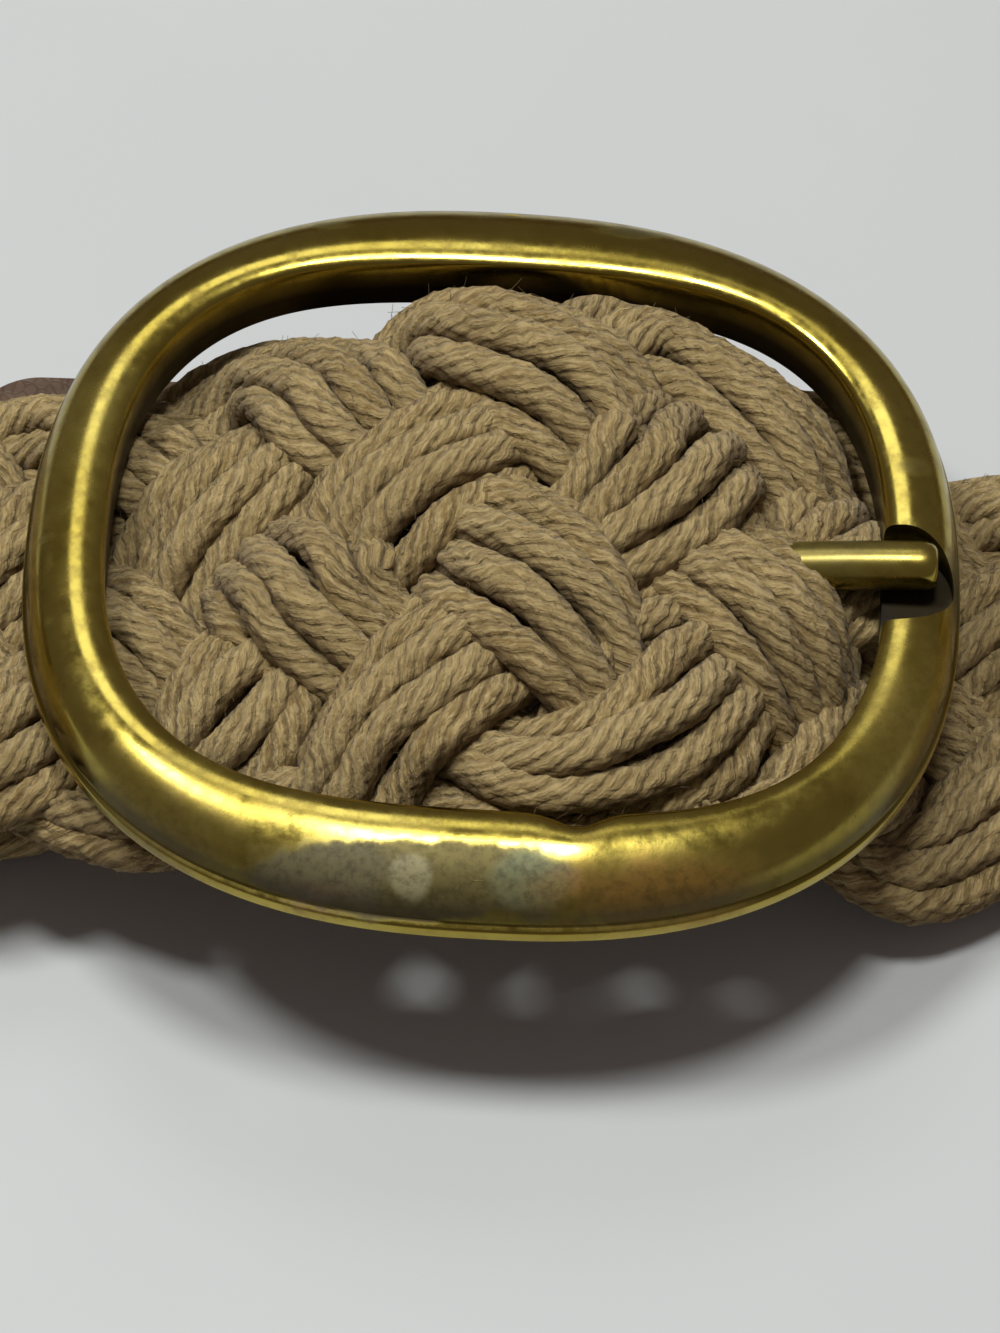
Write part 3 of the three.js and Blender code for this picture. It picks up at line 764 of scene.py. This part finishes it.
# Spots of tarnish and grime, and spots of painted shade and light: middle, half size, softness, raggedness,
# colour, strength, roughness.
tarnishAndPaintedLight = [
    ((-7.0, -32.7, 25.0), (13.2, 3.1, 3.2), 0.12, 0.3, (0.15, 0.122, 0.046, 1), 0.9, 0.6),
    ((-13.5, -32.2, 25.4), (5.6, 2.6, 3.0), 0.3, 0.7, (0.15, 0.13, 0.065, 1), 0.75, 0.66),
    ((3.0, -33.0, 25.0), (3.2, 2.5, 3.0), 0.3, 0.3, (0.17, 0.19, 0.092, 1), 0.75, 0.5),
    ((-6.5, -32.7, 25.4), (1.7, 1.7, 2.2), 0.24, 0.3, (0.33, 0.29, 0.15, 1), 0.85, 0.55),
    ((-15.6, -34.4, 24.4), (3.4, 1.3, 2.0), 0.6, 0.6, (0.22, 0.085, 0.045, 1), 0.8, 0.5),
    ((15.8, -33.6, 24.4), (11.5, 3.0, 3.0), 0.5, 0.5, (0.27, 0.14, 0.028, 1), 0.85, 0.45),
    ((-27.5, -27.4, 24.6), (8.5, 5.0, 3.4), 0.7, 0.8, (0.16, 0.115, 0.03, 1), 0.75, 0.42),
    ((11.7, 32.4, 25.4), (2.6, 0.75, 2.0), 0.6, 0.5, (0.06, 0.05, 0.02, 1), 0.7, 0.5),
    ((-13.8, 32.4, 25.4), (1.5, 0.6, 2.0), 0.7, 0.5, (0.07, 0.055, 0.02, 1), 0.55, 0.5),
    ((-36.5, -0.5, 24.6), (0.8, 0.45, 2.0), 0.6, 0.5, (0.05, 0.035, 0.02, 1), 0.75, 0.5),
    ((-36.3, -3.2, 24.6), (0.4, 1.1, 2.0), 0.6, 0.5, (0.06, 0.045, 0.02, 1), 0.6, 0.5),
    ((-36.0, -8.9, 24.6), (0.5, 0.5, 2.0), 0.6, 0.5, (0.06, 0.045, 0.02, 1), 0.6, 0.5),
    ((35.0, 8.1, 23.4), (1.4, 1.0, 2.0), 0.5, 0.7, (0.10, 0.075, 0.025, 1), 0.6, 0.45),
    ((27.0, -0.5, 26.5), (9.0, 2.8, 4.0), 0.6, 0.5, (0.13, 0.105, 0.035, 1), 0.65, 0.38),
    # Painted shade: near black inside the notch and the hollow beneath it.
    ((34.0, -2.2, 21.0), (5.0, 5.4, 2.6), 0.35, 0.25, (0.018, 0.013, 0.007, 1), 1.0, 0.6),
    # Painted light: two less metallic patches lighten the right bar's near part and the left bar, where
    # more light falls on them.
    ((33.0, -18.0, 23.0), (4.5, 8.0, 3.0), 0.8, 0.7, (0.30, 0.225, 0.06, 1), 0.5, 0.42),
    ((-33.5, 8.0, 24.0), (5.0, 12.0, 3.0), 0.8, 0.7, (0.30, 0.235, 0.07, 1), 0.45, 0.36),
]


# Mask of a soft oval with a ragged edge.
def spotGroup():
    group = bpy.data.node_groups.new("tarnish spot", "ShaderNodeTree")
    vectors = [(name, "NodeSocketVector") for name in ("Position", "Middle", "Scale")]
    floats = [(name, "NodeSocketFloat") for name in ("Softness", "Raggedness", "Ragged Noise")]
    for name, kind in vectors + floats:
        group.interface.new_socket(name, in_out="INPUT", socket_type=kind)
    group.interface.new_socket("Mask", in_out="OUTPUT", socket_type="NodeSocketFloat")
    given = addNode(group, "NodeGroupInput").outputs
    away = addNode(group, "ShaderNodeVectorMath", {0: given["Position"], 1: given["Middle"]},
                   operation="SUBTRACT").outputs[0]
    scaled = addNode(group, "ShaderNodeVectorMath", {0: away, 1: given["Scale"]}, operation="MULTIPLY")
    distance = addNode(group, "ShaderNodeVectorMath", {0: scaled.outputs[0]}, operation="LENGTH")
    centred = math2(group, "SUBTRACT", given["Ragged Noise"], 0.5)
    raggedness = math2(group, "MULTIPLY", given["Raggedness"], 2.0)
    reach = math2(group, "MULTIPLY_ADD", centred, raggedness, distance.outputs["Value"])
    inner = math2(group, "SUBTRACT", 1.0, given["Softness"])
    outer = math2(group, "ADD", 1.0, given["Softness"])
    result = addNode(group, "NodeGroupOutput")
    group.links.new(mapRange(group, reach, outer, inner), result.inputs["Mask"])
    return group


spotMaskGroup = spotGroup()


def brassMaterial():
    material, tree, shader = newMaterial("worn brass")
    position = addNode(tree, "ShaderNodeTexCoord").outputs["Object"]
    broad, fine, speckle, ragged, mottle = (
        noise(tree, position, *brass[name + "Noise"])
        for name in ("broad", "fine", "speckle", "ragged", "mottle"))
    colour = mixColour(tree, mapRange(tree, broad, *brass["paleRange"]), brass["colour"], brass["pale"])
    colour = mixColour(tree, mapRange(tree, fine, *brass["brownRange"]), colour, brass["brown"])
    colour = mixColour(tree, mapRange(tree, speckle, *brass["darkRange"]), colour, brass["dark"])
    mottle = mapRange(tree, mottle, *brass["mottleRange"])
    roughness = mapRange(tree, fine, *brass["roughnessRange"])
    metallic = 1.0
    for middle, size, soft, rough, tone, strength, dullness in tarnishAndPaintedLight:
        spot = addNode(tree, "ShaderNodeGroup", node_tree=spotMaskGroup)
        tree.links.new(position, spot.inputs["Position"])
        tree.links.new(ragged, spot.inputs["Ragged Noise"])
        spot.inputs["Middle"].default_value = toFrame(middle)
        spot.inputs["Scale"].default_value = [1 / (length * mm) for length in size]
        spot.inputs["Softness"].default_value = soft
        spot.inputs["Raggedness"].default_value = rough
        mask = math2(tree, "MULTIPLY", spot.outputs["Mask"], strength)
        mottled = mixColour(tree, mottle, tone, [part * brass["mottleTone"] for part in tone[:3]] + [1])
        colour = mixColour(tree, mask, colour, mottled)
        values = {"Value": mask, "To Min": roughness, "To Max": dullness}
        roughness = addNode(tree, "ShaderNodeMapRange", values).outputs[0]
        metallic = math2(tree, "MULTIPLY_ADD", mask, brass["metalLoss"], metallic)
    # Painted shade: the inner wall and the hollow are painted near black.
    wallShade = attribute(tree, "wallShade")
    colour = mixColour(tree, wallShade, colour, brass["dark"])
    # Painted reflection: the groove above the rim lip is darkened as if it mirrored the dark surroundings.
    grooveReflection = math2(tree, "MULTIPLY", attribute(tree, "groove"), brass["grooveDarkReflection"])
    colour = mixColour(tree, grooveReflection, colour, brass["dark"])
    roughness = math2(tree, "MULTIPLY_ADD", wallShade, brass["wallRoughness"], roughness)
    normal = bump(tree, speckle, *brass["speckleBump"], bump(tree, fine, *brass["fineBump"]))
    tree.links.new(colour, shader.inputs["Base Color"])
    tree.links.new(addNode(tree, "ShaderNodeClamp", {0: metallic}).outputs[0], shader.inputs["Metallic"])
    tree.links.new(roughness, shader.inputs["Roughness"])
    tree.links.new(normal, shader.inputs["Normal"])
    return material


brassLook = brassMaterial()
notch = {
    "halfWidth": 4.8,
    "floorUp": 0.9,
    "mouthX": 28,
    "reach": 38,
    "y": -1.8,
    "cutHeight": 10,
    "sides": 64,
}
centreBar = {
    "radius": 2.1,
    "up": -4,
    "legInset": 4.8,
    "legTop": 4.3,
    # Radius of the bend, in radii of the bar.
    "bend": 1.05,
    "bendSteps": 8,
    "sides": 32,
}


# A block that ends in a half round.
def notchCutter():
    width, height = notch["halfWidth"], notch["cutHeight"]
    bend = notch["reach"] - width
    up = notch["floorUp"] + height / 2
    bm = bmesh.new()
    bmesh.ops.create_cone(bm, cap_ends=True, segments=notch["sides"], radius1=width, radius2=width,
                          depth=height)
    bmesh.ops.transform(bm, matrix=Matrix.Translation((bend, notch["y"], up)), verts=bm.verts)
    toWorld(bm, tiltMatrix())
    cutter = meshObject("notch cutter", bm, brassLook)
    bm = bmesh.new()
    bmesh.ops.create_cube(bm, size=1)
    stretch = Matrix.Diagonal((bend - notch["mouthX"], 2 * width, height, 1))
    middle = Matrix.Translation(((bend + notch["mouthX"]) / 2, notch["y"], up))
    bmesh.ops.transform(bm, matrix=middle @ stretch, verts=bm.verts)
    toWorld(bm, tiltMatrix())
    applyBoolean(cutter, meshObject("notch mouth", bm, brassLook), "UNION")
    return cutter


# The centre bar: a half of its line is swept, bent into a leg at its end, and mirrored.
def buildCentreBar():
    legY = buckle["halfHeight"] - centreBar["legInset"]
    bend = centreBar["radius"] * centreBar["bend"]
    bm = bmesh.new()
    bmesh.ops.create_circle(bm, cap_ends=False, segments=centreBar["sides"], radius=centreBar["radius"])
    turn = Matrix.Rotation(math.pi / 2, 4, "X")
    bmesh.ops.transform(bm, matrix=Matrix.Translation((0, 0, centreBar["up"])) @ turn, verts=bm.verts)
    rim = extrudeRim(bm, list(bm.edges), Vector((0, legY - bend, 0)))
    pivot = (0, legY - bend, centreBar["up"] + bend)
    bent = bmesh.ops.spin(bm, geom=rim, cent=pivot, axis=(1, 0, 0), angle=math.pi / 2,
                          steps=centreBar["bendSteps"])
    rim = [item for item in bent["geom_last"] if isinstance(item, bmesh.types.BMEdge)]
    rim = extrudeRim(bm, rim, Vector((0, 0, centreBar["legTop"] - centreBar["up"] - bend)))
    bmesh.ops.edgeloop_fill(bm, edges=rim)
    half = bm.verts[:] + bm.edges[:] + bm.faces[:]
    bmesh.ops.mirror(bm, geom=half, axis="Y", merge_dist=1e-4)
    bmesh.ops.remove_doubles(bm, verts=bm.verts, dist=1e-4)
    toWorld(bm, tiltMatrix())
    return meshObject("buckle_bar", bm, brassLook)


def extrudeRim(bm, rim, step):
    pulled = bmesh.ops.extrude_edge_only(bm, edges=rim)["geom"]
    verts = [item for item in pulled if isinstance(item, bmesh.types.BMVert)]
    bmesh.ops.translate(bm, vec=step, verts=verts)
    return [item for item in pulled if isinstance(item, bmesh.types.BMEdge)]


def buildBuckle():
    bm = bmesh.new()
    section = [(1 + across, up) for across, up in outerSection + hollowSection]
    spinProfile(bm, section, buckle["sides"], closed=True)
    shapeRing(bm)
    toWorld(bm, tiltMatrix())
    ring = meshObject("buckle_ring", bm, brassLook)
    applyBoolean(ring, notchCutter(), "DIFFERENCE")
    ring.data.set_sharp_from_angle(angle=math.radians(40))
    bar = buildCentreBar()
    for piece in (ring, bar):
        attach(piece, "root")
        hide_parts("buckle_frame")
    return ring


ringPiece = buildBuckle()
print("buckle", len(ringPiece.data.polygons))

# Prong

prong = {
    "radius": 2.05,
    "y": -0.4,
    "startX": 2.6,
    "bend": (16, 2.6),
    "tip": (36.5, 3.7),
    "steps": 24,
    "sides": 48,
}
# The eye's section: distances from its axis, half its width, and how far its corners are cut.
prongEye = {"inner": 2.4, "outer": 4.1, "half": 2.2, "innerCut": 0.3, "outerCut": 0.5}
# Rounded end of the prong: parts of its radius out from its middle and back from its tip.
prongEnd = [(1.0, 0.62), (0.985, 0.4), (0.93, 0.22), (0.84, 0.1), (0.7, 0.02), (0.5, 0.0), (0.0, -0.02)]


# A curve of the second degree through the prong's middle.
def prongLine(part):
    points = ((prong["startX"], centreBar["up"]), prong["bend"], prong["tip"])
    x, up = (a * (1 - part) ** 2 + 2 * b * part * (1 - part) + c * part ** 2 for a, b, c in zip(*points))
    return Vector((x, prong["y"], up))


# Lays a straight prong that stands along +Z on the line.
def bendProng(bm, length, nearby=0.01):
    for vert in bm.verts:
        part = clamp(vert.co.z / length)
        spot = prongLine(part)
        ahead, behind = prongLine(min(part + nearby, 1)), prongLine(max(part - nearby, 0))
        direction = (ahead - behind).normalized()
        up = direction.cross(Vector((0, 1, 0)))
        beyond = vert.co.z - part * length
        vert.co = spot + direction * beyond + up * -vert.co.x + Vector((0, vert.co.y, 0))


def buildRod():
    steps = prong["steps"]
    line = [prongLine(i / steps) for i in range(steps + 1)]
    length = sum((b - a).length for a, b in zip(line, line[1:]))
    r = prong["radius"]
    shoulder = length - prongEnd[0][1] * r
    profile = [(0.0, 0.0)] + [(r, shoulder * i / steps) for i in range(steps)]
    profile += [(out * r, length - back * r) for out, back in prongEnd]
    bm = bmesh.new()
    spinProfile(bm, profile, prong["sides"], closed=False)
    bendProng(bm, length)
    toWorld(bm, tiltMatrix())
    return meshObject("prong_rod", bm, brassLook)


def buildEye():
    inner, outer, half = prongEye["inner"], prongEye["outer"], prongEye["half"]
    innerCut, outerCut = prongEye["innerCut"], prongEye["outerCut"]
    lower = [(inner, innerCut - half), (inner + innerCut, -half), (outer - outerCut, -half),
             (outer, outerCut - half)]
    upper = [(out, -up) for out, up in reversed(lower)]
    bm = bmesh.new()
    spinProfile(bm, lower + upper, prong["sides"], closed=True)
    place = Matrix.Translation((0, prong["y"], centreBar["up"])) @ Matrix.Rotation(math.pi / 2, 4, "X")
    toWorld(bm, tiltMatrix() @ place)
    return meshObject("prong_eye", bm, brassLook)


for piece in (buildRod(), buildEye()):
    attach(piece, "root")
    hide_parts("prong")
print("prong")

# Leather tab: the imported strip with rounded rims

leather = {
    "colour": (0.085, 0.048, 0.028, 1),
    "worn": (0.17, 0.10, 0.06, 1),
    "roughness": 0.6,
    "grainScale": 900.0,
    "grainRange": (0.0, 0.12),
    "grainBump": (0.12, 0.6),
    "poreNoise": (1800.0, 3.0, 0.6),
    "poreBump": (0.06, 0.5),
    "wearNoise": (130.0, 4.0, 0.6),
    "wearRange": (0.4, 0.72),
    # Edges steeper than this angle are rims, and are rounded.
    "rimAngle": 55,
    "rimRound": 0.5,
    "rimSegments": 3,
    # Faces that lie flatter than this to each other are joined first.
    "flatAngle": 1,
    "smoothAngle": 50,
}


def leatherMaterial():
    material, tree, shader = newMaterial("brown leather")
    position = addNode(tree, "ShaderNodeTexCoord").outputs["Object"]
    cells = addNode(tree, "ShaderNodeTexVoronoi", {"Vector": position, "Scale": leather["grainScale"]},
                    feature="DISTANCE_TO_EDGE")
    grain = mapRange(tree, cells.outputs["Distance"], *leather["grainRange"])
    pores = noise(tree, position, *leather["poreNoise"])
    wear = mapRange(tree, noise(tree, position, *leather["wearNoise"]), *leather["wearRange"])
    tree.links.new(mixColour(tree, wear, leather["colour"], leather["worn"]), shader.inputs["Base Color"])
    shader.inputs["Roughness"].default_value = leather["roughness"]
    normal = bump(tree, pores, *leather["poreBump"], bump(tree, grain, *leather["grainBump"]))
    tree.links.new(normal, shader.inputs["Normal"])
    return material


def buildTab():
    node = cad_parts["leather_tab"]
    bm = bmesh.new()
    bm.from_mesh(node.data)
    bmesh.ops.transform(bm, matrix=node.matrix_world, verts=bm.verts)
    bmesh.ops.remove_doubles(bm, verts=bm.verts, dist=1e-6)
    bmesh.ops.dissolve_limit(bm, angle_limit=math.radians(leather["flatAngle"]), verts=bm.verts,
                             edges=bm.edges)
    sharp = math.radians(leather["rimAngle"])
    rims = [edge for edge in bm.edges if edge.is_manifold and edge.calc_face_angle() > sharp]
    bmesh.ops.bevel(bm, geom=rims, offset=leather["rimRound"] * mm, segments=leather["rimSegments"],
                    profile=0.5, affect="EDGES", clamp_overlap=True)
    piece = meshObject("tab_strip", bm, leatherMaterial(), leather["smoothAngle"])
    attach(piece, "root")
    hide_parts("leather_tab")
    return piece


print("leather tab", len(buildTab().data.polygons))

# Floor, lights and camera

# The floor's half size and the places and sizes of the lamps are in metres.
studio = {
    "floor": (0.60, 0.615, 0.62, 1),
    "floorDark": (0.55, 0.565, 0.575, 1),
    "floorNoise": (18.0, 4.0, 0.55),
    "floorRange": (0.3, 0.7, 0.0, 0.25),
    "floorRoughness": 0.55,
    "floorHalf": 3,
    "world": (1.0, 0.84, 0.80, 1),
    "worldStrength": 0.145,
    # Name, place from the origin, size, power and colour.
    "lamps": (
        ("ceiling", (0.02, 0.05, 1.1), 0.22, 5.3, (0.98, 1.0, 0.98)),
        ("ceiling left", (-0.42, 0.08, 1.02), 0.2, 5.0, (0.98, 1.0, 0.98)),
        ("window behind", (-0.15, 0.9, 1.35), 0.6, 2.5, (0.95, 0.98, 1.0)),
    ),
    "elevation": 56,
    "distance": 450,
    "sensor": 36,
    "clipStart": 0.01,
    "pixelsPerMm": 11.6,
    "imageSize": (1000, 1333),
    "floorPointAt": (493.6, 713.5),
}


def buildFloor():
    bm = bmesh.new()
    bmesh.ops.create_grid(bm, x_segments=1, y_segments=1, size=studio["floorHalf"])
    material, tree, shader = newMaterial("pale table")
    position = addNode(tree, "ShaderNodeTexCoord").outputs["Object"]
    cloud = mapRange(tree, noise(tree, position, *studio["floorNoise"]), *studio["floorRange"])
    tint = mixColour(tree, cloud, studio["floor"], studio["floorDark"])
    tree.links.new(tint, shader.inputs["Base Color"])
    shader.inputs["Roughness"].default_value = studio["floorRoughness"]
    mesh = bpy.data.meshes.new("floor")
    bm.to_mesh(mesh)
    bm.free()
    mesh.materials.append(material)
    floor = bpy.data.objects.new("floor", mesh)
    bpy.context.collection.objects.link(floor)


def areaLight(name, offset, size, energy, colour):
    data = bpy.data.lights.new(name, "AREA")
    data.shape = "DISK"
    data.size = size
    data.energy = energy
    data.color = colour
    lamp = bpy.data.objects.new(name, data)
    lamp.location = Vector((origin.x, origin.y, 0)) + Vector(offset)
    aim = -Vector(offset)
    lamp.rotation_euler = aim.to_track_quat("-Z", "Y").to_euler()
    bpy.context.collection.objects.link(lamp)


def buildLights():
    world = bpy.data.worlds.new("studio")
    world.use_nodes = True
    background = world.node_tree.nodes["Background"]
    background.inputs["Color"].default_value = studio["world"]
    background.inputs["Strength"].default_value = studio["worldStrength"]
    bpy.context.scene.world = world
    for lamp in studio["lamps"]:
        areaLight(*lamp)


# The camera looks so that the point on the floor falls where the photograph shows it.
def buildCamera():
    bpy.context.scene.view_settings.view_transform = "Standard"
    data = bpy.data.cameras.new("photo")
    data.sensor_fit = "VERTICAL"
    data.sensor_height = studio["sensor"]
    focal = studio["pixelsPerMm"] * studio["distance"]
    data.lens = focal * data.sensor_height / studio["imageSize"][1]
    data.clip_start = studio["clipStart"]
    angle = math.radians(studio["elevation"])
    back = Vector((0, -math.cos(angle), math.sin(angle)))
    target = toFrame((0, 0, 0))
    forward = -back
    right = Vector((1, 0, 0))
    up = right.cross(forward)
    asideX = (studio["floorPointAt"][0] - studio["imageSize"][0] / 2) / focal
    asideY = (studio["floorPointAt"][1] - studio["imageSize"][1] / 2) / focal
    forward = (forward - right * asideX + up * asideY).normalized()
    right = (right - forward * right.dot(forward)).normalized()
    up = right.cross(forward)
    rotation = Matrix((right, up, -forward)).transposed().to_4x4()
    camera = bpy.data.objects.new("photo", data)
    camera.matrix_world = Matrix.Translation(target + back * studio["distance"] * mm) @ rotation
    bpy.context.collection.objects.link(camera)
    bpy.context.scene.camera = camera


buildFloor()
buildLights()
buildCamera()
print("stage")
